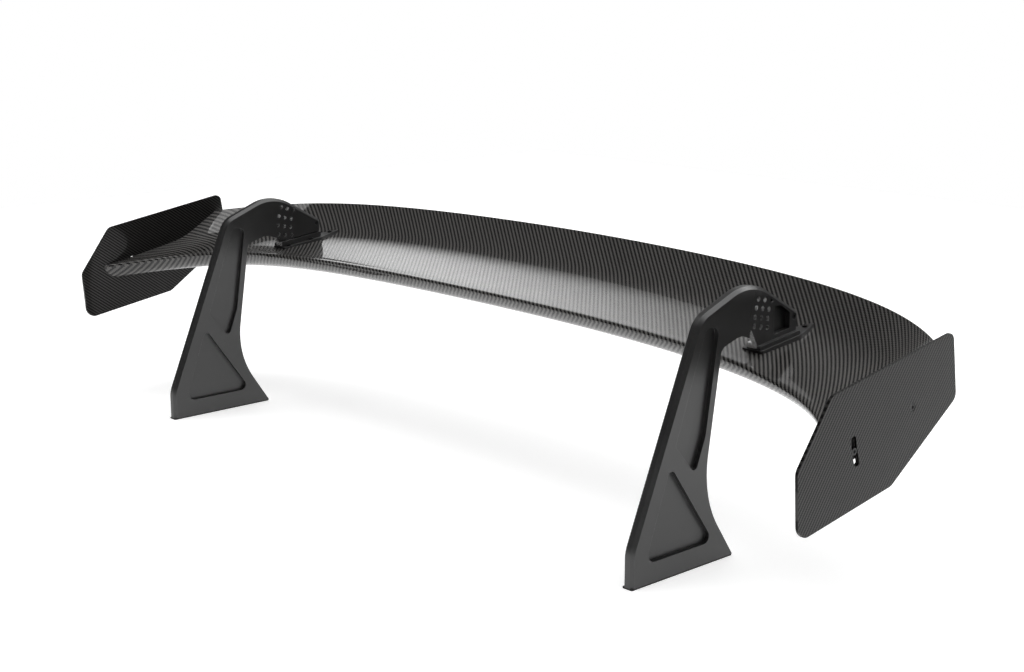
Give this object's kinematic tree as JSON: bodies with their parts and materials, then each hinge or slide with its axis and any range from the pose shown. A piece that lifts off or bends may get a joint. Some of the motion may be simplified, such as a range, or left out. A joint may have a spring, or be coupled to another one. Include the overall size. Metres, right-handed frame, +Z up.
{
  "type": "racing rear wing",
  "caption": "Swan-neck racing rear wing: drooped carbon blade with tilting end plates on black aluminium uprights, with a pivoting lap adjuster for its angle.",
  "frame": {"origin": "middle of the underside of the feet, under the middle of the whole wing's box", "axes": "+X across the car, along the blade; +Y to the rear; +Z up"},
  "size_m": [1.5, 0.4293, 0.3362],
  "materials": {
    "carbon_blade": "twill carbon fibre under clear gloss",
    "carbon_plate": "twill carbon fibre under clear satin gloss",
    "carbon_inner": "moulded carbon fibre, unpolished",
    "black_anodised": "satin black anodised",
    "raw_aluminium": "machined",
    "gasket_rubber": "matt sheet",
    "plated_steel": "zinc plated",
    "black_steel": "black oxide"
  },
  "bodies": {
    "uprights": {"upright_left": "black_anodised", "foot_gasket_left": "gasket_rubber", "foot_inserts_left": "plated_steel", "pivot_bolt_left": "black_steel", "upright_right": "black_anodised", "foot_gasket_right": "gasket_rubber", "foot_inserts_right": "plated_steel", "pivot_bolt_right": "black_steel"},
    "wing": {"blade_upper_skin": "carbon_blade", "blade_lower_skin": "carbon_blade", "main_spar": "carbon_inner", "rear_spar": "carbon_inner", "wing_bracket_left": "black_anodised", "base_plate_left": "black_anodised", "base_plate_screws_left": "black_steel", "bracket_screws_left": "black_steel", "lock_screw_left": "black_steel", "mount_block_left": "raw_aluminium", "end_rib_left": "carbon_inner", "end_rib_inserts_left": "plated_steel", "end_plate_pivot_bolt_left": "black_steel", "end_plate_clamp_bolt_left": "black_steel", "wing_bracket_right": "black_anodised", "base_plate_right": "black_anodised", "base_plate_screws_right": "black_steel", "bracket_screws_right": "black_steel", "lock_screw_right": "black_steel", "mount_block_right": "raw_aluminium", "end_rib_right": "carbon_inner", "end_rib_inserts_right": "plated_steel", "end_plate_pivot_bolt_right": "black_steel", "end_plate_clamp_bolt_right": "black_steel"},
    "end_plate_left": {"end_plate_left": "carbon_plate"},
    "end_plate_right": {"end_plate_right": "carbon_plate"}
  },
  "joints": [
    {"name": "angle_of_attack", "type": "hinge", "parent": "uprights", "child": "wing", "pos_m": [0, 0.08231, 0.287], "axis": [1, 0, 0], "range_deg": [-2, 9]},
    {"name": "end_plate_tilt_left", "type": "hinge", "parent": "wing", "child": "end_plate_left", "pos_m": [-0.748, -0.01399, 0.2362], "axis": [1, 0, 0], "range_deg": [-7, 7]},
    {"name": "end_plate_tilt_right", "type": "hinge", "parent": "wing", "child": "end_plate_right", "pos_m": [0.748, -0.01399, 0.2362], "axis": [1, 0, 0], "range_deg": [-7, 7]}
  ]
}
